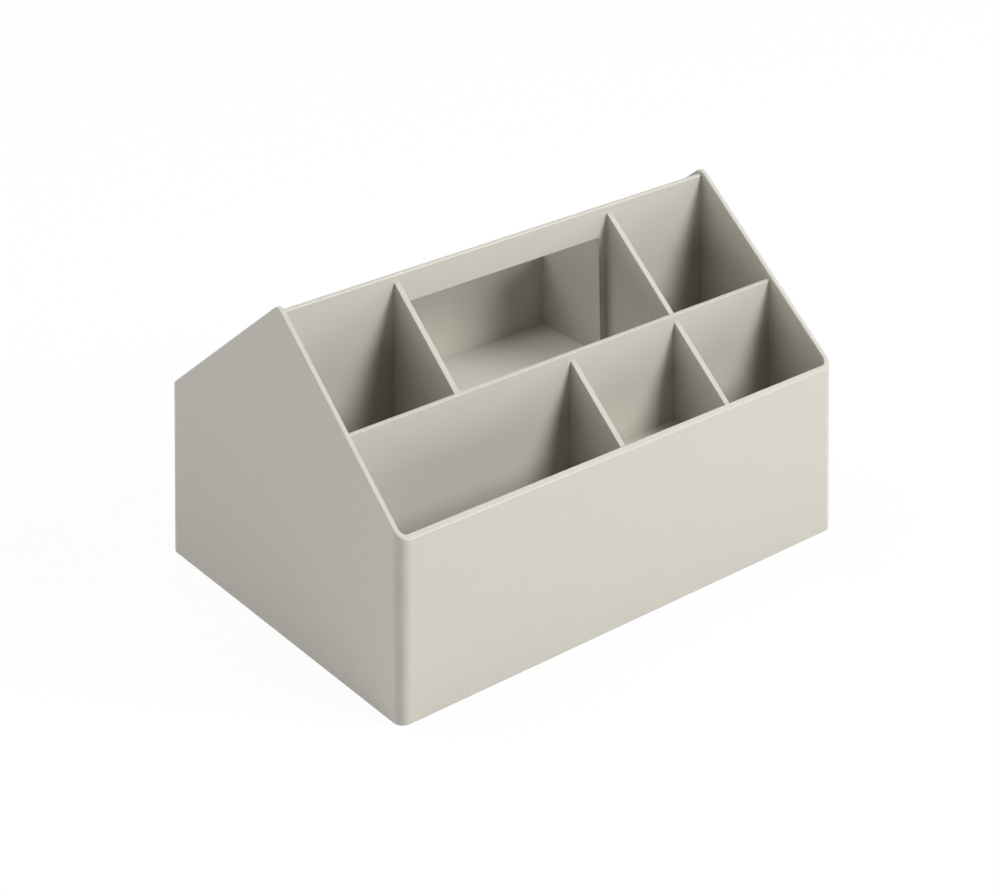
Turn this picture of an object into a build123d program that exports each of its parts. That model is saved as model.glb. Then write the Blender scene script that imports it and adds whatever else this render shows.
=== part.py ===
from build123d import *
import os
from math import radians, tan

os.makedirs("parts", exist_ok=True)

# Desk caddy with gabled ends, a carrying handle along the ridge and open compartments on both slopes.
# Millimetres. X runs along the length, -Y is the front, Z is up.
# The origin is on the table, under the middle of the base.

# Driving dimensions of the outer shell
length = 349.6  # outside, at the eaves
depth = 247.6  # outside, at the eaves
eaves_height = 104.55  # from the underside of the shell to where the roof planes meet the long walls
roof_angle = 36.84  # slope of the gables, degrees
draft = 0.35  # mould draft of the outer walls, degrees
wall = 3.6
floor_thickness = 3.0
corner_radius = 6.8  # upright outer corners, at the base
base_radius = 0.4  # outer edge of the underside
peak_radius = 6.5  # rounding of the two gable peaks
rim_radius = 0.8  # rounding along both edges of the rim

# Partition plates
cross_plate = 4.0
long_plate = 3.2
plate_edge_radius = 0.4
divider_drop = 7.3  # how far the cross dividers' tops stay below the roof planes at the ridge
divider_angle = 37.1  # slope of the cross dividers' tops, a little steeper than the roof, degrees
cross_spacing = 87.5  # the cross dividers stand on the quarter points, from the middle of the caddy
long_divider_offset = 66.5  # middle of each long divider, from the middle of the caddy
long_divider_height = 143.0  # above the underside of the shell
seat_depth = 1.0  # the plates stand in shallow seats in the floor

# Handle wall
handle_thickness = 3.8
handle_height = 193.2  # above the underside of the shell
grip_depth = 19.4  # the bar that the hand holds
window_half_top = 78.3  # half width of the window under the bar
window_half_bottom = 80.2  # and at the bay floor
window_corner = 1.5
handle_edge_radius = 0.9
window_edge_radius = 0.3

# Raised floors of the hand bay and of the middle bay in the front row, on ledges of the plates round them
bay_floor_height = 92.1  # top of the one in the hand bay, above the underside of the shell
front_bay_floor_height = 75.9  # and of the one in the front row
bay_floor_thickness = 3.0
ledge_width = 4.0
ledge_depth = 7.0

# Anti-slip feet, pressed into recesses in the underside
foot_diameter = 14.0
foot_thickness = 2.0
foot_proud = 0.6
foot_clearance = 0.1
foot_edge = 0.4
foot_x = 148.0
foot_y = 97.0

# Levels above the table
base_z = foot_proud
floor_z = base_z + floor_thickness
seat_z = floor_z - seat_depth
eaves_z = base_z + eaves_height
long_divider_z = base_z + long_divider_height
handle_z = base_z + handle_height
window_z = handle_z - grip_depth
bay_floor_z = base_z + bay_floor_height
ledge_z = bay_floor_z - bay_floor_thickness
front_bay_floor_z = base_z + front_bay_floor_height
front_ledge_z = front_bay_floor_z - bay_floor_thickness

lean = tan(radians(draft))
slope = tan(radians(roof_angle))
peak_z = eaves_z + slope * depth / 2
divider_slope = tan(radians(divider_angle))
divider_peak_z = peak_z - divider_drop
blank_height = peak_z - base_z

# Faces of the plates
cross_face = cross_spacing - cross_plate / 2  # a cross divider's inner side
cross_back = cross_spacing + cross_plate / 2  # its outer side
long_inner = long_divider_offset - long_plate / 2  # a long divider's side towards the handle
long_outer = long_divider_offset + long_plate / 2  # its side towards the long wall
lap_z = (seat_z + long_divider_z) / 2  # where the front long divider and a cross divider interlock

# Where the top of a cross divider meets the leaning inside of a long wall
rise = divider_peak_z - eaves_z
divider_end = (depth / 2 - wall + lean * rise) / (1 + lean * divider_slope)


def inside_x(z):
    """Half the clear length between the gable ends at height z."""
    return length / 2 - wall + lean * (z - eaves_z)


def inside_y(z):
    """Half the clear depth between the long walls at height z."""
    return depth / 2 - wall + lean * (z - eaves_z)


def roof_z(y):
    return eaves_z + slope * (depth / 2 - abs(y))


def divider_z(y):
    return divider_peak_z - divider_slope * abs(y)


def upright_top_edges(part, lowest):
    """Long edges along the top of a plate, for rounding."""
    def along_the_top(edge):
        ends = (edge @ 0, edge @ 1)
        level = min(point.Z for point in ends)
        across = max(abs((ends[1] - ends[0]).X), abs((ends[1] - ends[0]).Y))
        return level > lowest and across > 2 * cross_plate
    return part.edges().filter_by(along_the_top)


# Outer shell: floor, long walls and gabled ends in one drafted tub, cut along the roof planes
margin = 6.0  # the roof outline reaches past the walls by this
with BuildPart() as outer_shell:
    base_inset = lean * (eaves_z - base_z)
    with BuildSketch(Plane.XY.offset(base_z)):
        RectangleRounded(length - 2 * base_inset, depth - 2 * base_inset, corner_radius)
    extrude(amount=blank_height, taper=-draft)
    fillet(outer_shell.faces().sort_by(Axis.Z)[0].edges(), base_radius)

    with BuildSketch(Plane.XY.offset(floor_z)):
        RectangleRounded(2 * inside_x(floor_z), 2 * inside_y(floor_z), corner_radius - wall)
    extrude(amount=blank_height, taper=-draft, mode=Mode.SUBTRACT)

    half_outline = depth / 2 + margin
    with BuildSketch(Plane.YZ):
        with BuildLine():
            Polyline(
                (-half_outline, 0),
                (half_outline, 0),
                (half_outline, roof_z(half_outline)),
                (0, peak_z),
                (-half_outline, roof_z(half_outline)),
                close=True,
            )
        make_face()
        fillet(vertices().sort_by(Axis.Y)[-1], peak_radius)
    extrude(amount=length, both=True, mode=Mode.INTERSECT)

    rim_faces = outer_shell.faces().filter_by(
        lambda face: face.normal_at().Z > 0.5 and face.center().Z > floor_z + wall
    )
    rim_edges = rim_faces.edges().filter_by(lambda edge: edge.length > 1.5 * wall)
    fillet(rim_edges, rim_radius)

    # Seats for the two long dividers, the handle wall and the cross dividers
    with BuildSketch(Plane.XY.offset(floor_z)):
        with Locations((0, long_divider_offset), (0, -long_divider_offset)):
            Rectangle(2 * inside_x(floor_z), long_plate)
        for side in (1, -1):
            leg = inside_x(floor_z) - cross_back
            with Locations((side * (cross_back + leg / 2), 0)):
                Rectangle(leg, handle_thickness)
            with Locations((side * cross_spacing, 0)):
                Rectangle(cross_plate, 2 * long_inner)
        for x in (0, cross_spacing):
            run = inside_y(floor_z) - long_outer
            with Locations((x, -long_outer - run / 2)):
                Rectangle(cross_plate, run)
    extrude(amount=-seat_depth, mode=Mode.SUBTRACT)

    with BuildSketch(Plane.XY.offset(base_z)):
        with GridLocations(2 * foot_x, 2 * foot_y, 2, 2):
            Circle(foot_diameter / 2)
    extrude(amount=foot_thickness - foot_proud, mode=Mode.SUBTRACT)
outer_shell.part.label = "outer_shell"
export_step(outer_shell.part, "parts/outer_shell.step")


# Handle wall: one plate along the ridge, lowered over the cross dividers, with the window for the hand
with BuildPart() as handle_wall:
    with BuildSketch(Plane.XZ):
        for side in (1, -1):
            with BuildLine():
                Polyline(
                    (0, handle_z),
                    (side * inside_x(handle_z), handle_z),
                    (side * inside_x(seat_z), seat_z),
                    (side * cross_back, seat_z),
                    (side * cross_back, bay_floor_z),
                    (side * window_half_bottom, bay_floor_z),
                    (side * window_half_top, window_z),
                    (0, window_z),
                    close=True,
                )
            make_face()
        window_corners = vertices().filter_by(
            lambda corner: abs(corner.Y - window_z) < 0.01 and abs(corner.X) > 1
        )
        fillet(window_corners, window_corner)
    extrude(amount=handle_thickness / 2, both=True)
    fillet(upright_top_edges(handle_wall, handle_z - 0.1), handle_edge_radius)
    window_edges = handle_wall.edges().filter_by(
        lambda edge: bay_floor_z < edge.center().Z < window_z + 0.1
        and abs(edge.center().X) < window_half_bottom
        and abs((edge @ 0).Y - (edge @ 1).Y) < 0.01
    )
    fillet(window_edges, window_edge_radius)
handle_wall.part.label = "handle_wall"
export_step(handle_wall.part, "parts/handle_wall.step")


def long_divider(side, laps):
    """A full-length plate on the front (-1) or rear (1) slope, with slots for the cross dividers at laps."""
    with BuildPart() as divider:
        with BuildSketch(Plane.XZ.offset(-side * long_divider_offset)):
            with BuildLine():
                Polyline(
                    (-inside_x(seat_z), seat_z),
                    (inside_x(seat_z), seat_z),
                    (inside_x(long_divider_z), long_divider_z),
                    (-inside_x(long_divider_z), long_divider_z),
                    close=True,
                )
            make_face()
            for x in laps:
                with Locations((x, (seat_z + lap_z) / 2)):
                    Rectangle(cross_plate, lap_z - seat_z, mode=Mode.SUBTRACT)
        extrude(amount=long_plate / 2, both=True)
        fillet(upright_top_edges(divider, long_divider_z - 0.1), plate_edge_radius)
        # Ledge for the bay floor, between the cross dividers
        with BuildSketch(Plane.YZ):
            with BuildLine():
                Polyline(
                    (side * long_inner, ledge_z),
                    (side * (long_inner - ledge_width), ledge_z),
                    (side * long_inner, ledge_z - ledge_depth),
                    close=True,
                )
            make_face()
        extrude(amount=cross_face, both=True)
    return divider


front_long_divider = long_divider(-1, laps=(cross_spacing,))
front_long_divider.part.label = "front_long_divider"
export_step(front_long_divider.part, "parts/front_long_divider.step")

rear_long_divider = long_divider(1, laps=())
rear_long_divider.part.label = "rear_long_divider"
export_step(rear_long_divider.part, "parts/rear_long_divider.step")


def front_ledge(face, into):
    """A ledge for the front bay floor on a plate's side at x = face, pointing along into (1 or -1)."""
    middle = (long_outer + inside_y(front_ledge_z)) / 2
    half_run = inside_y(front_ledge_z) - middle - ledge_width
    with BuildPart() as ledge:
        with BuildSketch(Plane.XZ.offset(middle)):
            with BuildLine():
                Polyline(
                    (face, front_ledge_z),
                    (face + into * ledge_width, front_ledge_z),
                    (face, front_ledge_z - ledge_depth),
                    close=True,
                )
            make_face()
        extrude(amount=half_run, both=True)
    return ledge.part


def cross_divider(side, reaches_front):
    """A plate on a quarter point, right (1) or left (-1), that follows both roof slopes.

    It is slotted for the handle wall and, where it reaches the front wall, for the front long divider.
    Such a plate also carries the front bay floor.
    """
    front_low = -inside_y(seat_z) if reaches_front else -long_inner
    front_high = -divider_end if reaches_front else -long_inner
    with BuildPart() as divider:
        with BuildSketch(Plane.YZ.offset(side * cross_spacing)):
            with BuildLine():
                Polyline(
                    (front_low, seat_z),
                    (long_inner, seat_z),
                    (long_inner, divider_z(long_inner)),
                    (0, divider_z(0)),
                    (front_high, divider_z(front_high)),
                    close=True,
                )
            make_face()
        extrude(amount=cross_plate / 2, both=True)
        fillet(upright_top_edges(divider, divider_z(front_high) - 0.1), plate_edge_radius)
        with BuildSketch(Plane.YZ.offset(side * cross_spacing)):
            with Locations((0, (bay_floor_z + peak_z) / 2)):
                Rectangle(handle_thickness, peak_z - bay_floor_z)
            if reaches_front:
                with Locations((-long_divider_offset, (lap_z + peak_z) / 2)):
                    Rectangle(long_plate, peak_z - lap_z)
        extrude(amount=cross_plate, both=True, mode=Mode.SUBTRACT)
        # Ledge for the bay floor, clear of the long dividers' ledges at both ends
        with BuildSketch(Plane.XZ):
            with BuildLine():
                Polyline(
                    (side * cross_face, ledge_z),
                    (side * (cross_face - ledge_width), ledge_z),
                    (side * cross_face, ledge_z - ledge_depth),
                    close=True,
                )
            make_face()
        extrude(amount=long_inner - ledge_width, both=True)
        if reaches_front:
            add(front_ledge(side * cross_face, -side))
    return divider


left_cross_divider = cross_divider(-1, reaches_front=False)
left_cross_divider.part.label = "left_cross_divider"
export_step(left_cross_divider.part, "parts/left_cross_divider.step")

right_cross_divider = cross_divider(1, reaches_front=True)
right_cross_divider.part.label = "right_cross_divider"
export_step(right_cross_divider.part, "parts/right_cross_divider.step")


# Short divider in the middle of the front row
with BuildPart() as front_centre_divider:
    with BuildSketch(Plane.YZ):
        with BuildLine():
            Polyline(
                (-inside_y(seat_z), seat_z),
                (-long_outer, seat_z),
                (-long_outer, divider_z(long_outer)),
                (-divider_end, divider_z(divider_end)),
                close=True,
            )
        make_face()
    extrude(amount=cross_plate / 2, both=True)
    fillet(upright_top_edges(front_centre_divider, divider_z(divider_end) - 0.1), plate_edge_radius)
    add(front_ledge(cross_plate / 2, 1))
front_centre_divider.part.label = "front_centre_divider"
export_step(front_centre_divider.part, "parts/front_centre_divider.step")


# Raised floor of the hand bay
with BuildPart() as bay_floor:
    with BuildSketch(Plane.XY.offset(ledge_z)):
        Rectangle(2 * cross_face, 2 * long_inner)
    extrude(amount=bay_floor_thickness)
bay_floor.part.label = "bay_floor"
export_step(bay_floor.part, "parts/bay_floor.step")

# Raised floor of the middle bay in the front row, cut to the lean of the front wall
with BuildPart() as front_bay_floor:
    with BuildSketch(Plane.YZ.offset(cross_plate / 2)):
        with BuildLine():
            Polyline(
                (-long_outer, front_ledge_z),
                (-long_outer, front_bay_floor_z),
                (-inside_y(front_bay_floor_z), front_bay_floor_z),
                (-inside_y(front_ledge_z), front_ledge_z),
                close=True,
            )
        make_face()
    extrude(amount=cross_face - cross_plate / 2)
front_bay_floor.part.label = "front_bay_floor"
export_step(front_bay_floor.part, "parts/front_bay_floor.step")


# Four feet
foot_places = {
    "foot_front_left": (-foot_x, -foot_y),
    "foot_front_right": (foot_x, -foot_y),
    "foot_rear_left": (-foot_x, foot_y),
    "foot_rear_right": (foot_x, foot_y),
}
for name, place in foot_places.items():
    with BuildPart() as foot:
        with BuildSketch(Plane.XY):
            with Locations(place):
                Circle(foot_diameter / 2 - foot_clearance)
        extrude(amount=foot_thickness)
        chamfer(foot.faces().sort_by(Axis.Z)[0].edges(), foot_edge)
    foot.part.label = name
    export_step(foot.part, f"parts/{name}.step")
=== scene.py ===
import bpy
import math
from mathutils import Matrix, Vector

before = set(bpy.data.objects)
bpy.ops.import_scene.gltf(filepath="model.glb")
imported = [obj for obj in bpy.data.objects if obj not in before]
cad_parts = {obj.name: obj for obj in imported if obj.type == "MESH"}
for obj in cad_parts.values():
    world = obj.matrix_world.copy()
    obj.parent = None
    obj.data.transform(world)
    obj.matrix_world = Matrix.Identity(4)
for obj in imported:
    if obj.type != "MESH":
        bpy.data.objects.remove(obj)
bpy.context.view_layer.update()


# Node helpers

def addNode(tree, kind, place=(0, 0), **settings):
    node = tree.nodes.new(kind)
    node.location = place
    for name, value in settings.items():
        setattr(node, name, value)
    return node


def setInputs(node, **values):
    for name, value in values.items():
        node.inputs[name.replace("_", " ")].default_value = value


def newGroup(name, inputs, outputs):
    group = bpy.data.node_groups.new(name, "ShaderNodeTree")
    for label, kind, value in inputs:
        socket = group.interface.new_socket(label, in_out="INPUT", socket_type=kind)
        socket.default_value = value
    for label, kind in outputs:
        group.interface.new_socket(label, in_out="OUTPUT", socket_type=kind)
    start = addNode(group, "NodeGroupInput", (-900, 0))
    end = addNode(group, "NodeGroupOutput", (900, 0))
    return group, start, end


# Fine spark-eroded mould texture with faint tone drift, shared by all the plastic pieces

stone = (0.495, 0.477, 0.424, 1)
grainValues = {
    "grainDetail": 3.0,
    "grainRoughness": 0.6,
    "driftScale": 9.0,  # broad clouds of tone and gloss, about 11 cm across
    "driftDetail": 4.0,
    "driftRoughness": 0.55,
    "speckScale": 700.0,  # specks of pigment, about 1.4 mm across
    "speckDetail": 2.0,
    "speckRoughness": 0.7,
    "speckShare": 0.35,  # part of the tone drift that is specks, the rest is clouds
}


def makeMouldedGrain(values):
    group, start, end = newGroup(
        "mouldedGrain",
        [
            ("Color", "NodeSocketColor", stone),
            ("Grain Size", "NodeSocketFloat", 0.0006),
            ("Tone Drift", "NodeSocketFloat", 0.02),
            ("Roughness", "NodeSocketFloat", 0.6),
            ("Roughness Drift", "NodeSocketFloat", 0.06),
            ("Seed", "NodeSocketFloat", 0.0),
        ],
        [("Color", "NodeSocketColor"), ("Roughness", "NodeSocketFloat"), ("Height", "NodeSocketFloat")],
    )
    link = group.links.new
    place = addNode(group, "ShaderNodeTexCoord", (-900, 300))

    density = addNode(group, "ShaderNodeMath", (-700, -200), operation="DIVIDE")
    density.inputs[0].default_value = 1.0
    link(start.outputs["Grain Size"], density.inputs[1])

    def addNoise(spot, detail, roughness):
        noise = addNode(group, "ShaderNodeTexNoise", spot, noise_dimensions="4D")
        setInputs(noise, Detail=detail, Roughness=roughness)
        link(place.outputs["Object"], noise.inputs["Vector"])
        link(start.outputs["Seed"], noise.inputs["W"])
        return noise

    grain = addNoise((-500, -200), values["grainDetail"], values["grainRoughness"])
    link(density.outputs[0], grain.inputs["Scale"])
    drift = addNoise((-500, 200), values["driftDetail"], values["driftRoughness"])
    setInputs(drift, Scale=values["driftScale"])
    speck = addNoise((-500, 500), values["speckDetail"], values["speckRoughness"])
    setInputs(speck, Scale=values["speckScale"])

    both = addNode(group, "ShaderNodeMix", (-250, 350), data_type="FLOAT")
    both.inputs["Factor"].default_value = values["speckShare"]
    link(drift.outputs["Fac"], both.inputs["A"])
    link(speck.outputs["Fac"], both.inputs["B"])

    centred = addNode(group, "ShaderNodeMath", (-50, 350), operation="SUBTRACT")
    centred.inputs[1].default_value = 0.5
    link(both.outputs["Result"], centred.inputs[0])
    scaled = addNode(group, "ShaderNodeMath", (120, 350), operation="MULTIPLY_ADD")
    link(centred.outputs[0], scaled.inputs[0])
    link(start.outputs["Tone Drift"], scaled.inputs[1])
    scaled.inputs[2].default_value = 1.0
    toned = addNode(group, "ShaderNodeVectorMath", (320, 350), operation="SCALE")
    link(start.outputs["Color"], toned.inputs[0])
    link(scaled.outputs[0], toned.inputs["Scale"])
    link(toned.outputs[0], end.inputs["Color"])

    spread = addNode(group, "ShaderNodeMath", (120, 50), operation="SUBTRACT")
    spread.inputs[1].default_value = 0.5
    link(drift.outputs["Fac"], spread.inputs[0])
    rough = addNode(group, "ShaderNodeMath", (320, 50), operation="MULTIPLY_ADD")
    link(spread.outputs[0], rough.inputs[0])
    link(start.outputs["Roughness Drift"], rough.inputs[1])
    link(start.outputs["Roughness"], rough.inputs[2])
    link(rough.outputs[0], end.inputs["Roughness"])

    link(grain.outputs["Fac"], end.inputs["Height"])
    return group


mouldedGrain = makeMouldedGrain(grainValues)
print("grain group made")


def makePlastic(name, values):
    material = bpy.data.materials.new(name)
    material.use_nodes = True
    tree = material.node_tree
    shader = tree.nodes["Principled BSDF"]
    setInputs(shader, IOR=values["ior"], Specular_IOR_Level=values["specular"])
    grain = addNode(tree, "ShaderNodeGroup", (-500, 0), node_tree=mouldedGrain)
    grain.inputs["Color"].default_value = values["color"]
    grain.inputs["Grain Size"].default_value = values["grainSize"]
    grain.inputs["Tone Drift"].default_value = values["toneDrift"]
    grain.inputs["Roughness"].default_value = values["roughness"]
    grain.inputs["Roughness Drift"].default_value = values["roughnessDrift"]
    grain.inputs["Seed"].default_value = values["seed"]
    bump = addNode(tree, "ShaderNodeBump", (-250, -200))
    setInputs(bump, Strength=values["bumpStrength"], Distance=values["bumpDepth"])
    tree.links.new(grain.outputs["Color"], shader.inputs["Base Color"])
    tree.links.new(grain.outputs["Roughness"], shader.inputs["Roughness"])
    tree.links.new(grain.outputs["Height"], bump.inputs["Height"])
    tree.links.new(bump.outputs["Normal"], shader.inputs["Normal"])
    return material


plasticValues = {
    "color": stone,
    "grainSize": 0.0007,  # metres
    "toneDrift": 0.03,
    "roughness": 0.32,
    "roughnessDrift": 0.08,
    "ior": 1.5,
    "specular": 0.4,
    "bumpStrength": 0.25,
    "bumpDepth": 0.00005,  # metres
    "seed": 0.0,
}
rubberValues = dict(
    plasticValues, color=(0.06, 0.06, 0.058, 1), roughness=0.85, specular=0.2, seed=7.0
)


def dress(node, material):
    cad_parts[node].material_slots[0].material = material


seeds = {  # a different stretch of the grain on each piece
    "outer_shell": 0.0,
    "handle_wall": 1.3,
    "front_long_divider": 2.1,
    "rear_long_divider": 3.7,
    "left_cross_divider": 4.4,
    "right_cross_divider": 5.2,
    "front_centre_divider": 6.6,
    "bay_floor": 7.9,
    "front_bay_floor": 8.6,
}
for node, seed in seeds.items():
    dress(node, makePlastic(node + "Plastic", dict(plasticValues, seed=seed)))
footRubber = makePlastic("footRubber", rubberValues)
for node in ("foot_front_left", "foot_front_right", "foot_rear_left", "foot_rear_right"):
    dress(node, footRubber)
print("materials set on", len(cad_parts), "nodes")


# Floor and surroundings

stageValues = {
    "floorSize": 12.0,
    "floorColor": (0.86, 0.86, 0.86, 1),
    "floorRoughness": 0.9,
    "floorSpecular": 0.1,
    "whiteShare": 0.94,  # part of the floor that is seen as pure white, the rest shows light and shadow
}


def seenDirectly(tree, share):
    rays = addNode(tree, "ShaderNodeLightPath", (-700, 300))
    seen = rays.outputs["Is Camera Ray"]
    for spot, kind in ((-500, "Is Glossy Ray"), (-300, "Is Transmission Ray")):
        either = addNode(tree, "ShaderNodeMath", (spot, 300), operation="MAXIMUM")
        tree.links.new(seen, either.inputs[0])
        tree.links.new(rays.outputs[kind], either.inputs[1])
        seen = either.outputs[0]
    part = addNode(tree, "ShaderNodeMath", (-100, 300), operation="MULTIPLY")
    part.inputs[1].default_value = share
    tree.links.new(seen, part.inputs[0])
    return part.outputs[0]


def mixSeen(tree, share, lit, white, output):
    mix = addNode(tree, "ShaderNodeMixShader", (250, 100))
    tree.links.new(seenDirectly(tree, share), mix.inputs["Fac"])
    tree.links.new(lit.outputs[0], mix.inputs[1])
    tree.links.new(white.outputs[0], mix.inputs[2])
    tree.links.new(mix.outputs[0], output.inputs["Surface"])


def makeFloor():
    bpy.ops.object.select_all(action="DESELECT")
    bpy.ops.mesh.primitive_plane_add(size=stageValues["floorSize"], location=(0, 0, 0))
    floor = bpy.context.object
    floor.name = "studioFloor"
    material = bpy.data.materials.new("paleFloor")
    material.use_nodes = True
    tree = material.node_tree
    shader = tree.nodes["Principled BSDF"]
    setInputs(
        shader,
        Base_Color=stageValues["floorColor"],
        Roughness=stageValues["floorRoughness"],
        Specular_IOR_Level=stageValues["floorSpecular"],
    )
    glow = addNode(tree, "ShaderNodeEmission", (0, -300))
    setInputs(glow, Strength=1.0)
    mixSeen(tree, stageValues["whiteShare"], shader, glow, tree.nodes["Material Output"])
    floor.data.materials.append(material)


def makeWorld():
    world = bpy.data.worlds.new("studioWorld")
    bpy.context.scene.world = world
    world.use_nodes = True
    tree = world.node_tree
    dark = tree.nodes["Background"]
    setInputs(dark, Color=(1, 1, 1, 1), Strength=0.0)
    white = addNode(tree, "ShaderNodeBackground", (0, -200))
    setInputs(white, Color=(1, 1, 1, 1), Strength=1.0)
    mixSeen(tree, 1.0, dark, white, tree.nodes["World Output"])


makeFloor()
makeWorld()
print("surroundings made")


# Lamps: large softboxes on a ring round the caddy. Bearing in degrees from the front, towards the right;
# rise in degrees above level; power in watts.

lampValues = {
    "keySoftbox": {"bearing": 34, "rise": 32, "size": (1.7, 1.95), "power": 174.5},
    "rightStrip": {"bearing": 75, "rise": 9, "size": (1.3, 1.1), "power": 20.0},
    "leftBank": {"bearing": -90, "rise": 12, "size": (3.6, 1.6), "power": 23.2},
    "leftTopSoftbox": {"bearing": -135, "rise": 45, "size": (3.2, 3.2), "power": 63.5},
    "rearTopSoftbox": {"bearing": -175, "rise": 66, "size": (3.2, 3.2), "power": 52.5},
    "overheadSoftbox": {"bearing": 0, "rise": 88, "size": (3.2, 3.2), "power": 26.8},
}
lampRing = {"distance": 4.0, "middle": (0, 0, 0.1)}


def makeLamp(name, values):
    data = bpy.data.lights.new(name, "AREA")
    data.shape = "RECTANGLE"
    data.size, data.size_y = values["size"]
    data.energy = values["power"]
    lamp = bpy.data.objects.new(name, data)
    bpy.context.scene.collection.objects.link(lamp)
    bearing = math.radians(values["bearing"])
    rise = math.radians(values["rise"])
    toLamp = Vector(
        (math.sin(bearing) * math.cos(rise), -math.cos(bearing) * math.cos(rise), math.sin(rise))
    )
    lamp.location = Vector(lampRing["middle"]) + lampRing["distance"] * toLamp
    lamp.rotation_euler = (-toLamp).to_track_quat("-Z", "Y").to_euler()
    lamp.visible_camera = False


for name, values in lampValues.items():
    makeLamp(name, values)
print("lamps set:", len(lampValues))


# Camera: a view camera whose picture plane stands upright while it looks down on the caddy, so upright
# edges stay parallel

cameraValues = {
    "place": (-1.02779, -1.27825, 0.86188),
    "heading": 38.699,  # degrees from +Y towards +X
    "fall": 26.098,  # degrees below level of the line of sight through the middle of the picture
    "lens": 102.13,
    "clip": (0.05, 50),
}


def makeCamera(values):
    heading = math.radians(values["heading"])
    fall = math.radians(values["fall"])
    right = Vector((math.cos(heading), -math.sin(heading), 0))
    up = Vector((0, 0, 1))
    back = Vector(
        (-math.sin(heading) * math.cos(fall), -math.cos(heading) * math.cos(fall), math.sin(fall))
    )
    upright = Matrix.Translation(values["place"]) @ Matrix((right, up, back)).transposed().to_4x4()
    stand = bpy.data.objects.new("cameraStand", None)
    bpy.context.scene.collection.objects.link(stand)
    data = bpy.data.cameras.new("camera")
    data.lens = values["lens"]
    data.clip_start, data.clip_end = values["clip"]
    camera = bpy.data.objects.new("camera", data)
    bpy.context.scene.collection.objects.link(camera)
    camera.parent = stand
    camera.matrix_parent_inverse = upright
    bpy.context.scene.camera = camera


makeCamera(cameraValues)
bpy.context.scene.view_settings.view_transform = "Standard"
print("camera set")
